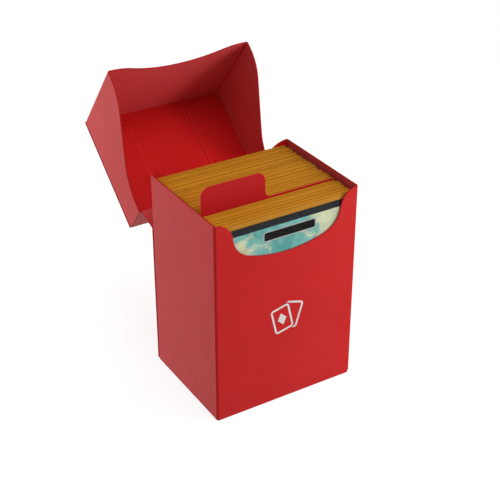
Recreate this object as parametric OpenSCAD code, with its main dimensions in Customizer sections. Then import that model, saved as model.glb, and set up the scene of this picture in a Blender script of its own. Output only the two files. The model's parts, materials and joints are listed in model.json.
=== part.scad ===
// Card deck box: one folded sheet of plastic with a hood lid on a double crease,
// holding two decks of sleeved cards with a tabbed divider between them.
// Millimetres, +Z up, +X to the right, the front faces -Y.
// The origin is the centre of the underside. Every folded part is drawn in the shut
// position and then turned open about its crease.

/* [Box] */
// Outside width, side to side
box_w = 70; // [62:0.5:90]
// Outside depth, front to back
box_d = 55.6; // [50:0.1:70]
// Height of the rim
box_h = 96.8; // [96:0.1:120]
// Thickness of the plastic sheet
sheet = 0.6; // [0.5:0.05:0.7]
// Outside radius of a folded corner
fold_r = 0.9; // [0.8:0.05:1.2]
// Width of the flaps welded behind the back and under the floor
flap_w = 22; // [16:0.5:26]

/* [Finger scoop] */
// Depth of the scoop in the front panel
scoop_depth = 21; // [16:0.5:26]
// Radius of the rounded shoulders beside the scoop
scoop_shoulder_r = 8.75; // [7:0.25:10]
// Radius of the lower corners of the scoop
scoop_corner_r = 11.7; // [9:0.1:13]
// How far the scoop's walls lean from upright, in degrees
scoop_lean = 5; // [3:0.5:8]

/* [Lid] */
// Height of the shut lid's roof
lid_top = 98.9; // [98.2:0.1:122]
// Gap between the lid's sides and the box
lid_side_gap = 0.15; // [0.1:0.05:0.5]
// Gap between the lid's front and the box
lid_front_gap = 0.45; // [0.1:0.05:1]
// Length of the lid's front at its corners
lid_front_h = 46.5; // [42:0.5:52]
// Length of the strip between the roof and the upper crease
lid_strip_h = 17.7; // [14:0.1:22]
// Rise of the arched lower edge of the lid's front
arch_rise = 6.8; // [4:0.1:9]
// Radius of the arch in its middle
arch_r = 59; // [50:1:64]
// Half the span of the arch
arch_half_span = 33; // [30:0.5:34]
// Slope of the lid's side edges, in degrees
side_slope = 43; // [40:1:48]
// Width of the flaps welded under the roof
roof_flap_w = 20; // [12:0.5:28]

/* [Hinge] */
// Height of the lower crease, on the box
lower_crease_z = 70.2; // [60:0.1:72]
// How far the link panel is folded back, in degrees
link_open = 72.6; // [0:0.1:90]
// How far the lid is folded back from the link panel, in degrees
lid_open = 67.6; // [0:0.1:120]

/* [Cards] */
// Width of a card sleeve
sleeve_w = 66; // [58:0.5:66]
// Height of a card sleeve
sleeve_h = 93; // [88:0.5:93]
// Thickness of a sleeved card
card_t = 0.6; // [0.5:0.01:0.62]
// Spacing of the cards in a deck
card_pitch = 0.65; // [0.65:0.01:0.7]
// Cards in the front deck, the face card among them
front_cards = 20; // [5:1:20]
// Cards in the rear deck
rear_cards = 61; // [10:1:61]
// How far a card may stand out of line, to each side
card_stray = 1.2; // [0:0.1:1.2]

/* [Divider] */
// Height of the divider without its tab
divider_h = 83.1; // [75:0.1:84]
// Height of the tab
tab_h = 12; // [8:0.1:14]
// Width of the tab
tab_w = 30.6; // [20:0.1:40]
// Radius of the tab's corners
tab_r = 4.2; // [2:0.1:5]
// How far the divider is drawn up out of the box
divider_lift = 10.6; // [0:0.1:60]

/* [Hidden] */

$fn = 48;
SHEET_RED = "#b4161c";
WELD_RED = "#8f1015";
SLEEVE_GOLD = "#b87a1e";
arc_step = 6;             // degrees between the points of a rounded outline
layer_gap = 0.05;         // air between sheets that lie on each other
half_w = box_w / 2;
front_y = -box_d / 2;     // outer face of the front panel
back_y = box_d / 2;       // outer face of the back panel
flap_back_y = back_y - sheet - layer_gap;   // outer face of the rear flaps
floor_flap_z = sheet + layer_gap;           // underside of the bottom flaps
floor_z = floor_flap_z + sheet + layer_gap; // where the cards stand

crease_r = 0.15;          // radius of a crease's thin web
crease_gap = 0.3;         // from a crease's axis to the panels beside it
crease_y = back_y - crease_r;
upper_crease_z = lid_top - lid_strip_h;

lid_half_w = half_w + lid_side_gap + sheet;
lid_front_y = front_y - lid_front_gap - sheet;
lid_low_z = lid_top - lid_front_h;
roof_under_z = lid_top - sheet;
roof_flap_under_z = roof_under_z - sheet;
side_front_flat = 3.5;    // level stretch of a lid side's edge beside the front
side_front_r = 20;        // curve from that stretch into the slope
side_rear_r = 25;         // curve from the slope to the rear
side_rear_z = upper_crease_z + 0.4;

weld_r = 1.2;
roof_weld_r = 0.9;
weld_inset = 2.8;         // from a flap's free edge to its welds
weld_dimple = 0.05;       // how deep a weld lies below the surface
flap_taper = 5;           // how much shorter a flap is at its free edge, at each end

divider_t = 0.5;
divider_y = -13.6;
first_card_y = front_y + sheet + layer_gap;
rear_deck_y = divider_y + divider_t / 2 + 0.15;
film_t = 0.1;             // film of a card sleeve
seam_w = 1.3;             // sealed edge of a card sleeve
face_card_w = 63;
face_card_h = 88;
face_card_t = 0.35;
face_card_z = 4;
golden_angle = 137.508;   // degrees; spreads the cards' places without a pattern

// ---------- outlines and small helpers ----------

function arc(centre, r, from, to) =
    let (n = max(1, ceil(abs(to - from) / arc_step)))
    [for (i = [0:n]) let (a = from + (to - from) * i / n) centre + r * [cos(a), sin(a)]];

function mirrored_path(path) = [for (i = [len(path) - 1:-1:0]) [-path[i].x, path[i].y]];

// Right half of a scooped top edge, from its shoulder at x = half_w down to the middle:
// shoulder, corner and floor are arcs that run smoothly into each other.
function scoop_half(top_z, depth, shoulder_r, corner_r, lean) =
    let (
        shoulder = [half_w, top_z - shoulder_r],
        corner = shoulder + (shoulder_r + corner_r) * [-cos(lean), sin(lean)],
        drop = top_z - depth - corner.y,
        floor_r = (corner_r * corner_r - drop * drop - corner.x * corner.x)
            / (2 * (drop + corner_r)),
        middle = [0, top_z - depth + floor_r],
        turn = atan2(corner.y - middle.y, corner.x)
    )
    concat(
        arc(shoulder, shoulder_r, 90, 180 - lean),
        arc(corner, corner_r, -lean, turn),
        arc(middle, floor_r, turn, -90)
    );

// Upright plate from an outline drawn in X and Z, its faces at y and y + t
module wall_xz(y, t) translate([0, y + t, 0]) rotate([90, 0, 0]) linear_extrude(t) children();

// Upright plate from an outline drawn in Y and Z, its faces at x and x + t
module wall_yz(x, t) translate([x, 0, 0]) rotate([90, 0, 90]) linear_extrude(t) children();

module slab(x0, x1, y0, y1, z0, z1) translate([x0, y0, z0]) cube([x1 - x0, y1 - y0, z1 - z0]);

// Quarter tube that joins two panels. Its outer corner would be at the origin,
// and the panels run on from it along +X and +Y.
module fold(length) linear_extrude(length) intersection() {
    square(fold_r);
    translate([fold_r, fold_r]) difference() {
        circle(fold_r);
        circle(fold_r - sheet);
    }
}
module fold_along_x(length) translate([-length / 2, 0, 0]) rotate([90, 0, 90]) fold(length);
module fold_along_y(length) translate([0, length, 0]) rotate([90, 0, 0]) fold(length);

module on_right() mirror([1, 0, 0]) children();
module both_sides() { children(); on_right() children(); }

module about_crease(z, angle)
    translate([0, crease_y, z]) rotate([-angle, 0, 0]) translate([0, -crease_y, -z]) children();
module on_link() about_crease(lower_crease_z, link_open) children();
module on_lid() on_link() about_crease(upper_crease_z, lid_open) children();

// ---------- box ----------

module front_panel() color(SHEET_RED) wall_xz(front_y, sheet) intersection() {
    rim = scoop_half(box_h, scoop_depth, scoop_shoulder_r, scoop_corner_r, scoop_lean);
    polygon(concat([[-half_w, fold_r], [half_w, fold_r]], rim, mirrored_path(rim)));
    translate([fold_r - half_w, 0]) square([box_w - 2 * fold_r, box_h]);
}

module side_panel() color(SHEET_RED)
    slab(-half_w, sheet - half_w, front_y + fold_r, flap_back_y - fold_r,
        floor_flap_z + fold_r, box_h);
module left_side_panel() side_panel();
module right_side_panel() on_right() side_panel();

// Flap from a side panel behind the cards: rounded down from the rim, then sloping
module rear_flap() color(SHEET_RED) wall_xz(flap_back_y - sheet, sheet) {
    shoulder_r = 13.6;
    slope = 45;
    inner_x = flap_w - half_w;
    shoulder = arc([-half_w, box_h - shoulder_r], shoulder_r, 90 - fold_r / shoulder_r * 60, slope);
    last = shoulder[len(shoulder) - 1];
    polygon(concat(
        [[inner_x, floor_z + flap_taper], [fold_r - half_w, floor_z]],
        shoulder,
        [[inner_x, last.y - (inner_x - last.x)]]
    ));
}
module left_rear_flap() rear_flap();
module right_rear_flap() on_right() rear_flap();

module back_panel() color(SHEET_RED) difference() {
    slab(-half_w, half_w, back_y - sheet, back_y, fold_r, lower_crease_z - crease_gap);
    back_welds(sheet + 2);
}

module back_welds(length) both_sides() for (z = [14, 36, 58])
    translate([flap_w - half_w - weld_inset, flap_back_y, z]) rotate([-90, 0, 0])
        cylinder(h = length, r = weld_r);
module back_weld_spots() color(WELD_RED) back_welds(sheet + layer_gap - weld_dimple);

module bottom_panel() color(SHEET_RED)
    slab(0.4 - half_w, half_w - 0.4, front_y + fold_r, back_y - fold_r, 0, sheet);

module bottom_flap() color(SHEET_RED) difference() {
    translate([0, 0, floor_flap_z]) linear_extrude(sheet) polygon([
        [fold_r - half_w, front_y + fold_r], [flap_w - half_w, front_y + fold_r + flap_taper],
        [flap_w - half_w, back_y - 2 - flap_taper], [fold_r - half_w, back_y - 2]
    ]);
    bottom_welds(sheet + 2);
}
module left_bottom_flap() bottom_flap();
module right_bottom_flap() on_right() bottom_flap();

module bottom_welds(length) both_sides() for (y = [-12, 12])
    translate([flap_w - half_w - weld_inset, y, sheet]) cylinder(h = length, r = weld_r);
module bottom_weld_spots() color(WELD_RED) bottom_welds(sheet + layer_gap - weld_dimple);

module corner_folds() color(SHEET_RED) both_sides() {
    height = box_h - floor_flap_z - fold_r;
    translate([-half_w, front_y, box_h - height]) fold(height);
    translate([-half_w, flap_back_y, box_h - height]) mirror([0, 1, 0]) fold(height);
}

module bottom_folds() color(SHEET_RED) for (side = [0, 1]) mirror([0, side, 0])
    translate([0, front_y, 0]) fold_along_x(box_w - 2 * fold_r);

module bottom_flap_folds() color(SHEET_RED) both_sides()
    translate([-half_w, front_y + fold_r, floor_flap_z])
        fold_along_y(flap_back_y - front_y - 2 * fold_r);

// Printed mark: two fanned card outlines with a diamond pip, centred on the front
module front_emblem() color("white") {
    ink_t = 0.04;
    line_w = 0.9;
    card = [9.4, 13];
    corner_r = 1.5;
    pip = [2.2, 3.1];
    spread = [2.3, 0.45];
    wall_xz(front_y - ink_t, ink_t) translate([0, 42.9]) {
        difference() {
            translate(spread) rotate(-17) card_outline(card, corner_r, line_w);
            translate(-spread) rotate(13) rounded(card + [1.4, 1.4], corner_r + 0.7);
        }
        translate(-spread) rotate(13) {
            card_outline(card, corner_r, line_w);
            polygon([[pip.x, 0], [0, pip.y], [-pip.x, 0], [0, -pip.y]]);
        }
    }
}
module rounded(size, r) polygon(concat(
    arc([size.x / 2 - r, size.y / 2 - r], r, 0, 90), arc([r - size.x / 2, size.y / 2 - r], r, 90, 180),
    arc([r - size.x / 2, r - size.y / 2], r, 180, 270), arc([size.x / 2 - r, r - size.y / 2], r, 270, 360)
));
module card_outline(size, r, line_w) difference() {
    rounded(size, r);
    rounded(size - 2 * [line_w, line_w], r - line_w);
}

// ---------- hinge ----------

// Thin web on a crease's axis, joined to the panel below it
module crease(z) {
    translate([-half_w, crease_y, z]) rotate([0, 90, 0]) cylinder(h = box_w, r = crease_r);
    slab(-half_w, half_w, crease_y - 0.1, crease_y + 0.1, z - crease_gap, z);
}
module lower_crease() color(SHEET_RED) crease(lower_crease_z);
module upper_crease() color(SHEET_RED) on_link() crease(upper_crease_z);

module hinge_link_panel() color(SHEET_RED) on_link()
    slab(-half_w, half_w, back_y - sheet, back_y,
        lower_crease_z + crease_gap, upper_crease_z - crease_gap);

// ---------- lid ----------

module lid_back_strip() color(SHEET_RED) on_lid()
    slab(sheet - lid_half_w, lid_half_w - sheet, back_y - sheet, back_y,
        upper_crease_z + crease_gap, lid_top - fold_r);

module lid_roof_panel() color(SHEET_RED) on_lid()
    slab(-lid_half_w, lid_half_w, lid_front_y + fold_r, back_y - fold_r, roof_under_z, lid_top);

// Lower edge of the lid's front, from its right corner to the middle
function arch_half() =
    let (
        end_r = (arch_half_span * arch_half_span + arch_rise * arch_rise) / (2 * arch_rise) - arch_r,
        end = [arch_half_span, lid_low_z + end_r],
        middle = [0, lid_low_z + arch_rise - arch_r],
        turn = atan2(end.y - middle.y, end.x)
    )
    concat(arc(end, end_r, 270, 180 + turn), arc(middle, arch_r, turn, 90));

module lid_front_panel() color(SHEET_RED) on_lid() wall_xz(lid_front_y, sheet) {
    x = lid_half_w - fold_r;
    top = lid_top - fold_r;
    edge = arch_half();
    polygon(concat([[-x, top], [x, top], [x, lid_low_z]], edge, mirrored_path(edge),
        [[-x, lid_low_z]]));
}

// Lower edge of a lid side, from the front corner up the slope to the rear
function side_edge() =
    let (
        rise = side_rear_z - lid_low_z,
        slope_len = (rise - (side_front_r + side_rear_r) * (1 - cos(side_slope))) / sin(side_slope),
        front = [lid_front_y + side_front_flat, lid_low_z + side_front_r],
        rear_y = front.x + (side_front_r + side_rear_r) * sin(side_slope) + slope_len * cos(side_slope),
        rear = [rear_y, side_rear_z - side_rear_r]
    )
    concat(arc(front, side_front_r, 270, 270 + side_slope), arc(rear, side_rear_r, 90 + side_slope, 90));

module lid_side() color(SHEET_RED) on_lid() wall_yz(-lid_half_w, sheet) {
    top = roof_under_z - fold_r;
    polygon(concat([[back_y, top], [lid_front_y + fold_r, top], [lid_front_y + fold_r, lid_low_z]],
        side_edge(), [[back_y, side_rear_z]]));
}
module lid_left_panel() lid_side();
module lid_right_panel() on_right() lid_side();

module roof_flap() color(SHEET_RED) on_lid() difference() {
    y0 = lid_front_y + sheet + 0.15;
    y1 = back_y - fold_r;
    x0 = fold_r - lid_half_w;
    x1 = roof_flap_w - lid_half_w;
    translate([0, 0, roof_flap_under_z]) linear_extrude(sheet)
        polygon([[x0, y0], [x1, y0 + flap_taper], [x1, y1 - flap_taper], [x0, y1]]);
    roof_welds(1);
}
module lid_left_flap() roof_flap();
module lid_right_flap() on_right() roof_flap();

// Four welds down each flap, the first six millimetres from the front
module roof_welds(extra) both_sides() for (i = [0:3])
    translate([roof_flap_w - lid_half_w - weld_inset, lid_front_y + 6 + 15 * i,
        roof_flap_under_z + weld_dimple - extra])
        cylinder(h = sheet - weld_dimple + extra, r = roof_weld_r);
module lid_weld_spots() color(WELD_RED) on_lid() roof_welds(0);

module lid_corner_folds() color(SHEET_RED) on_lid() both_sides()
    translate([-lid_half_w, lid_front_y, lid_low_z]) fold(lid_front_h - fold_r);

module lid_roof_folds() color(SHEET_RED) on_lid() {
    translate([0, lid_front_y, lid_top]) mirror([0, 0, 1]) fold_along_x(2 * lid_half_w);
    translate([0, back_y, lid_top]) mirror([0, 1, 0]) mirror([0, 0, 1]) fold_along_x(2 * lid_half_w);
}

module lid_flap_folds() color(SHEET_RED) on_lid() both_sides()
    translate([-lid_half_w, lid_front_y + fold_r, roof_under_z]) mirror([0, 0, 1])
        fold_along_y(back_y - lid_front_y - 2 * fold_r);

// ---------- divider and cards ----------

module card_divider() color(SHEET_RED) wall_xz(divider_y - divider_t / 2, divider_t) {
    x0 = -sleeve_w / 2;
    x1 = x0 + tab_w;
    z0 = floor_z + divider_lift;
    low = z0 + divider_h;
    high = low + tab_h;
    root_r = 2.8;
    end_r = 2;
    polygon(concat(
        [[x0, z0], [-x0, z0]],
        arc([-x0 - end_r, low - end_r], end_r, 0, 90),
        arc([x1 + root_r, low + root_r], root_r, 270, 180),
        arc([x1 - tab_r, high - tab_r], tab_r, 0, 90),
        arc([x0 + tab_r, high - tab_r], tab_r, 90, 180)
    ));
}

function stray(i) = card_stray * sin(i * golden_angle) * cos(i * 31);

module sleeved_card(i, y) slab(stray(i) - sleeve_w / 2, stray(i) + sleeve_w / 2, y, y + card_t,
    floor_z, floor_z + sleeve_h);

module rear_sleeved_cards() color(SLEEVE_GOLD) for (i = [0:rear_cards - 1])
    sleeved_card(i + front_cards, rear_deck_y + i * card_pitch);

module front_sleeved_cards() color(SLEEVE_GOLD) for (i = [1:front_cards - 1])
    sleeved_card(i, first_card_y + i * card_pitch);

module face_sleeve_back() color(SLEEVE_GOLD)
    slab(-sleeve_w / 2, sleeve_w / 2, first_card_y + card_t - film_t, first_card_y + card_t,
        floor_z, floor_z + sleeve_h);

module face_card() color("#3c8f96") translate([0, 0, face_card_z + face_card_h / 2])
    wall_xz(first_card_y + film_t + layer_gap / 2, face_card_t) rounded([face_card_w, face_card_h], 3);

// Clear front of the face card's sleeve, with its sealed sides and foot
module face_sleeve_window() color([1, 1, 1, 0.3]) {
    x = sleeve_w / 2;
    depth = card_t - film_t;
    slab(-x, x, first_card_y, first_card_y + film_t, floor_z, floor_z + sleeve_h);
    both_sides() slab(-x, seam_w - x, first_card_y, first_card_y + depth, floor_z, floor_z + sleeve_h);
    slab(-x, x, first_card_y, first_card_y + depth, floor_z, floor_z + seam_w);
}

front_panel();
left_side_panel();
right_side_panel();
left_rear_flap();
right_rear_flap();
back_panel();
bottom_panel();
left_bottom_flap();
right_bottom_flap();
corner_folds();
bottom_folds();
bottom_flap_folds();
back_weld_spots();
bottom_weld_spots();
front_emblem();
lower_crease();
hinge_link_panel();
upper_crease();
lid_back_strip();
lid_roof_panel();
lid_front_panel();
lid_left_panel();
lid_right_panel();
lid_left_flap();
lid_right_flap();
lid_corner_folds();
lid_roof_folds();
lid_flap_folds();
lid_weld_spots();
card_divider();
rear_sleeved_cards();
front_sleeved_cards();
face_sleeve_back();
face_card();
face_sleeve_window();
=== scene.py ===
# Card deck box: the looks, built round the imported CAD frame. Metres, +Z up, the front faces -Y.
# The folded parts are drawn in the shut position, as in the CAD, and turned open at their creases.
import json
import math
import random

import bmesh
import bpy
from mathutils import Matrix, Vector
from mathutils.geometry import tessellate_polygon


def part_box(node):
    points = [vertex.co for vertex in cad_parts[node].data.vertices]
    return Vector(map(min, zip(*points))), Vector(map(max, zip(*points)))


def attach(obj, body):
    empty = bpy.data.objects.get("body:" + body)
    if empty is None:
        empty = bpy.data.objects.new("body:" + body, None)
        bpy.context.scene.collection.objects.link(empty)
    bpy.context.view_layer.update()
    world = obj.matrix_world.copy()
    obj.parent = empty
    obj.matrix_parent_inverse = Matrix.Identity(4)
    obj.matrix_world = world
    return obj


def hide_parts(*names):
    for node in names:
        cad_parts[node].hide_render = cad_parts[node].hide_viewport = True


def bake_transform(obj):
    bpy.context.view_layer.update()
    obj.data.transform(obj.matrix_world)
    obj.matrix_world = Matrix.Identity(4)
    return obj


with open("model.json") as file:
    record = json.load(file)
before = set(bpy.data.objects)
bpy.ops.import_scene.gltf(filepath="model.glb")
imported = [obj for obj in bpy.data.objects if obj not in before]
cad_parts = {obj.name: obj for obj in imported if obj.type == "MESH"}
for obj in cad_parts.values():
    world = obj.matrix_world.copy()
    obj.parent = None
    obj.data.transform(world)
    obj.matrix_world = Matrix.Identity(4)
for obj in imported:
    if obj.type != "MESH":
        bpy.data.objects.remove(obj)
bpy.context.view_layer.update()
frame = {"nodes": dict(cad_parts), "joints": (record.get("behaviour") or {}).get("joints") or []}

MM = 0.001

# ---------- sizes, in metres ----------

FOLD_R = 0.9 * MM          # outside radius of a folded corner
RIM_R = 0.14 * MM          # rounding of a die-cut edge
CREASE_GAP = 0.3 * MM      # from a crease's axis to the panels beside it
WEB_T = 0.3 * MM           # thickness of the sheet where a crease is pressed
FLAP_W = 22 * MM
FLAP_TAPER = 5 * MM
REAR_FLAP_R = 13.6 * MM    # upper corner of a flap behind the cards
REAR_FLAP_SLOPE = 45       # degrees
WELD_R = 1.2 * MM
ROOF_WELD_R = 0.9 * MM
# A weld spot from its rim inwards: share of its radius, and millimetres below its lip.
WELD_DISH = ((1, 0.10), (0.93, 0), (0.82, 0.02), (0.62, 0.10), (0.3, 0.13), (0, 0.14))
WELD_INSET = 2.8 * MM
BACK_WELD_HEIGHTS = (14 * MM, 36 * MM, 58 * MM)
BOTTOM_WELD_PLACES = (-12 * MM, 12 * MM)
ROOF_WELDS = 4             # on each side
FIRST_ROOF_WELD = 6 * MM   # from the lid's front
ROOF_WELD_PITCH = 15 * MM

SCOOP_DEPTH = 21 * MM
SCOOP_SHOULDER_R = 8.75 * MM
SCOOP_CORNER_R = 11.7 * MM
SCOOP_LEAN = 5             # degrees

ARCH_RISE = 6.8 * MM
ARCH_R = 59 * MM
ARCH_HALF_SPAN = 33 * MM
SIDE_SLOPE = 43            # degrees
SIDE_FRONT_FLAT = 3.5 * MM
SIDE_FRONT_R = 20 * MM
SIDE_REAR_R = 25 * MM
SIDE_REAR_RISE = 0.4 * MM  # of a lid side's rear corner above the upper crease
ROOF_FLAP_W = 20 * MM

TAB_H = 12 * MM
TAB_W = 30.6 * MM
TAB_R = 4.2 * MM
TAB_ROOT_R = 2.8 * MM
DIVIDER_END_R = 2 * MM
DIVIDER_RIM_R = 0.12 * MM

SLEEVE_W = 66 * MM
SLEEVE_T = 0.45 * MM       # a sleeved card, pressed flat
FILM_T = 0.08 * MM
BACK_FILM_RIM_R = 0.03 * MM
CLEAR_FILM_RIM_R = 0.02 * MM
SEAM_W = 1.2 * MM          # sealed edge of a sleeve
SEAM_RISE = 0.25 * MM      # over this the film rises from the seam round the card's edge
MOUTH_DEPTH = 0.15 * MM    # from a sleeve's rim down to the inner sleeve
NECK_H = 6 * MM            # from a sleeve's rim down to its next row of points
CARD_W = 63 * MM
CARD_H = 88 * MM
CARD_T = 0.28 * MM
CARD_CORNER_R = 3 * MM
CARD_FOOT = 2.3 * MM       # least height of a card's foot above its sleeve's
FRONT_CARDS = 20           # the face card among them
REAR_CARDS = 61
CARD_STRAY = 1.2 * MM      # how far a card may stand to either side
TOP_STRAY = 0.10 * MM      # how much lower a sleeve's mouth may be
WIDTH_STRAY = 0.2 * MM     # how much narrower a sleeve may be
FOOT_STRAY = 0.3 * MM      # how much higher a card may stand in its sleeve

PACK_SIZE = (2, 5)         # least and most cards in a pack
PACK_ROOM = (0.7, 1.3)     # least and most room before a pack, against the other packs
CARD_ROOM = 0.06           # room between two cards of a pack
LEAN_ROOM = 0.02           # how much that room may differ from corner to corner
PACK_ASIDE = 0.5           # share of CARD_STRAY that a whole pack may take
CARD_ASIDE = 0.4           # share that each card in it may take
PACK_SUNK = 0.3            # share of TOP_STRAY that a whole pack may take
CARD_SUNK = 0.7            # share that each card in it may take
DECK_SEED = 7

PICTURE_BORDER = 3.1 * MM
PICTURE_R = 0.8 * MM
PLATE_LO = Vector((-11.6, 82.3)) * MM      # nameplate on the face card, in X and Z
PLATE_HI = Vector((14.3, 87.1)) * MM
PLATE_R = 1.2 * MM
PLATE_INNER_R = 0.8 * MM
PLATE_LINE_W = 0.5 * MM

SAME_POINT = 1e-6          # metres
ON_LINE = 0.01 * MM        # how near a point has to be to count as on a line
NEARLY_STRAIGHT = 0.08     # sine of a corner's turn
RIM_ANGLES = (0, 30, 60, 90)
FOLD_STEPS = 12
LATHE_STEPS = 24
WEB_STEPS = 10             # across a crease
WEB_STATIONS = 24          # along a crease

# ---------- places, from the frame ----------

JOINTS = {joint["name"]: joint for joint in frame["joints"]}
LOWER = JOINTS["lower_crease_fold"]
UPPER = JOINTS["upper_crease_fold"]
LINK_OPEN = -LOWER["range_deg"][0]
LID_OPEN = -UPPER["range_deg"][0]


def turned_open(point, degrees):
    """The turn that folds a panel back about the crease through point."""
    place = Matrix.Translation(point)
    return place @ Matrix.Rotation(math.radians(-degrees), 4, "X") @ place.inverted()


AT_REST = Matrix.Identity(4)
LINK_POSE = turned_open(Vector(LOWER["pos_m"]), LINK_OPEN)
LID_POSE = turned_open(Vector(UPPER["pos_m"]), LID_OPEN) @ LINK_POSE
OPEN_POSES = {"hinge_link": LINK_POSE, "lid": LID_POSE}


def shut_box(node, pose):
    """Lowest and highest corner of a node with its body turned back to the shut position."""
    back = pose.inverted()
    points = [back @ v.co for v in frame["nodes"][node].data.vertices]
    return (Vector(map(min, zip(*points))), Vector(map(max, zip(*points))))


front_lo, front_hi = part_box("front_panel")
side_lo, side_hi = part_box("left_side_panel")
back_lo, back_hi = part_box("back_panel")
rear_flap_lo, rear_flap_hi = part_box("left_rear_flap")
floor_flap_lo, floor_flap_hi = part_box("left_bottom_flap")
bottom_lo, bottom_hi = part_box("bottom_panel")
roof_lo, roof_hi = shut_box("lid_roof_panel", LID_POSE)
strip_lo, strip_hi = shut_box("lid_back_strip", LID_POSE)
roof_flap_lo, roof_flap_hi = shut_box("lid_left_flap", LID_POSE)
link_lo, link_hi = shut_box("hinge_link_panel", LINK_POSE)
divider_lo, divider_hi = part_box("card_divider")

SHEET_T = front_hi.y - front_lo.y
HALF_W = -side_lo.x
RIM_Z = front_hi.z
FRONT_Y = front_lo.y
BACK_Y = back_hi.y
LID_HALF_W = roof_hi.x
LID_TOP = roof_hi.z
LID_FRONT_Y = shut_box("lid_front_panel", LID_POSE)[0].y
LID_LOW = shut_box("lid_left_panel", LID_POSE)[0].z
UPPER_CREASE_Z = link_hi.z + CREASE_GAP
LOWER_CREASE_Z = LOWER["pos_m"][2]
CREASE_Y = LOWER["pos_m"][1]
CARD_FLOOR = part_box("rear_sleeved_cards")[0].z
SLEEVE_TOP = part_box("rear_sleeved_cards")[1].z

# ---------- materials ----------


class Shader:
    """A node material that is put together one node at a time."""

    def __init__(self, name):
        self.material = bpy.data.materials.new(name)
        self.material.use_nodes = True
        self.tree = self.material.node_tree
        self.tree.nodes.clear()
        self.output = self.node("ShaderNodeOutputMaterial")
        self.coords = self.node("ShaderNodeTexCoord").outputs["Object"]

    def node(self, kind, inputs=None, **settings):
        made = self.tree.nodes.new(kind)
        for key, value in settings.items():
            setattr(made, key, value)
        for key, value in (inputs or {}).items():
            if isinstance(value, bpy.types.NodeSocket):
                self.tree.links.new(value, made.inputs[key])
            else:
                made.inputs[key].default_value = value
        return made

    def noise(
            self, scale, detail=2.0, roughness=0.5, stretch=None, shift=(0, 0, 0), distortion=0.0):
        """Noise with that many features a metre, from 0 to 1."""
        vector = self.coords
        if stretch or any(shift):
            mapping = self.node("ShaderNodeMapping", {
                "Vector": vector, "Scale": stretch or (1, 1, 1), "Location": shift})
            vector = mapping.outputs["Vector"]
        made = self.node("ShaderNodeTexNoise", {
            "Vector": vector, "Scale": scale, "Detail": detail, "Roughness": roughness,
            "Distortion": distortion})
        return made.outputs["Fac"]

    def remap(self, value, low, high, to_low=0, to_high=1, smooth=False):
        made = self.node("ShaderNodeMapRange", {
            "Value": value, "From Min": low, "From Max": high, "To Min": to_low, "To Max": to_high})
        if smooth:
            made.interpolation_type = "SMOOTHSTEP"
        return made.outputs["Result"]

    def math(self, operation, a, b):
        return self.node("ShaderNodeMath", {0: a, 1: b}, operation=operation).outputs[0]

    def mix(self, factor, a, b):
        made = self.node("ShaderNodeMix", {"Factor": factor}, data_type="RGBA")
        for index, value in ((6, a), (7, b)):
            if isinstance(value, bpy.types.NodeSocket):
                self.tree.links.new(value, made.inputs[index])
            else:
                made.inputs[index].default_value = (*value, 1)
        return made.outputs[2]

    def bump(self, *layers):
        """Bump from (height, depth in metres) layers, one on another."""
        normal = None
        for height, depth in layers:
            made = self.node(
                "ShaderNodeBump", {"Height": height, "Distance": depth, "Strength": 1.0})
            if normal:
                self.tree.links.new(normal, made.inputs["Normal"])
            normal = made.outputs["Normal"]
        return normal

    def surface(self, colour, roughness, normal=None, specular=0.5, **sockets):
        """Shows a principled shader with those values."""
        values = {
            "Base Color": colour, "Roughness": roughness, "Specular IOR Level": specular, **sockets}
        if normal:
            values["Normal"] = normal
        return self.show(self.node("ShaderNodeBsdfPrincipled", values))

    def show(self, shader):
        self.tree.links.new(shader.outputs[0], self.output.inputs["Surface"])
        return self.material


SHEET_RED = (0.62, 0.0115, 0.0117)
SHEET_RED_DEEP = (0.59, 0.0102, 0.0104)
# painted shade: die-cut edges, darker than the sheet, so that rims show as dark outlines however they
# are lit
EDGE_RED_PAINTED_SHADE = (0.42, 0.010, 0.011)
# painted highlight: the lid flaps' cut edges, far paler than the sheet, to lift the shade they lie in
PAINTED_HIGHLIGHT_EDGE_RED = (0.92, 0.072, 0.075)
RUBBED_RED = (0.8, 0.2, 0.2)
DIVIDER_RED = (0.54, 0.0105, 0.0135)
DIVIDER_RED_DEEP = (0.50, 0.009, 0.012)
# painted highlight: the divider's cut edges, lighter and pinker than its sheet, as if catching the
# light
DIVIDER_EDGE_RED_PAINTED_HIGHLIGHT = (0.60, 0.020, 0.022)
# painted sheen: the inner faces' colour, lighter and hazier than the sheet, stands in for the sheen
# they show at a grazing view
INSIDE_RED_PAINTED_SHEEN = (0.68, 0.071, 0.072)
INSIDE_RED_DEEP_PAINTED_SHEEN = (0.65, 0.065, 0.066)
# painted shade: the folds, a little darker than the sheet
FOLD_RED_PAINTED_SHADE = (0.60, 0.0100, 0.0105)
CREASE_RED = (0.62, 0.022, 0.024)
WELD_RED = (0.52, 0.0086, 0.0090)
SLEEVE_GOLD = (0.755, 0.346, 0.026)
SLEEVE_SHADE = (0.635, 0.278, 0.020)
# painted shade: the sleeves' faces, darker than their rims, for the dark gaps between the cards
FACE_GOLD_PAINTED_SHADE = (0.62, 0.267, 0.019)
FACE_GOLD_DEEP_PAINTED_SHADE = (0.56, 0.236, 0.016)
CARD_STOCK = (0.72, 0.70, 0.64)
CARD_CORE = (0.50, 0.48, 0.44)
BORDER_GREY = (0.018, 0.020, 0.024)
BORDER_GREY_WORN = (0.025, 0.028, 0.033)
SKY_DEEP = (0.11, 0.42, 0.40)
SKY_PALE = (0.28, 0.64, 0.57)
CLOUD_GREEN = (0.58, 0.66, 0.42)
CLOUD_CREAM = (0.88, 0.90, 0.60)
PLATE_INK = (0.003, 0.003, 0.003)
PLATE_INK_WORN = (0.007, 0.006, 0.005)
LINE_INK = (0.60, 0.60, 0.58)
LINE_INK_WORN = (0.46, 0.46, 0.45)
INK_WHITE = (0.86, 0.86, 0.84)
INK_WHITE_WORN = (0.74, 0.72, 0.70)
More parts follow.
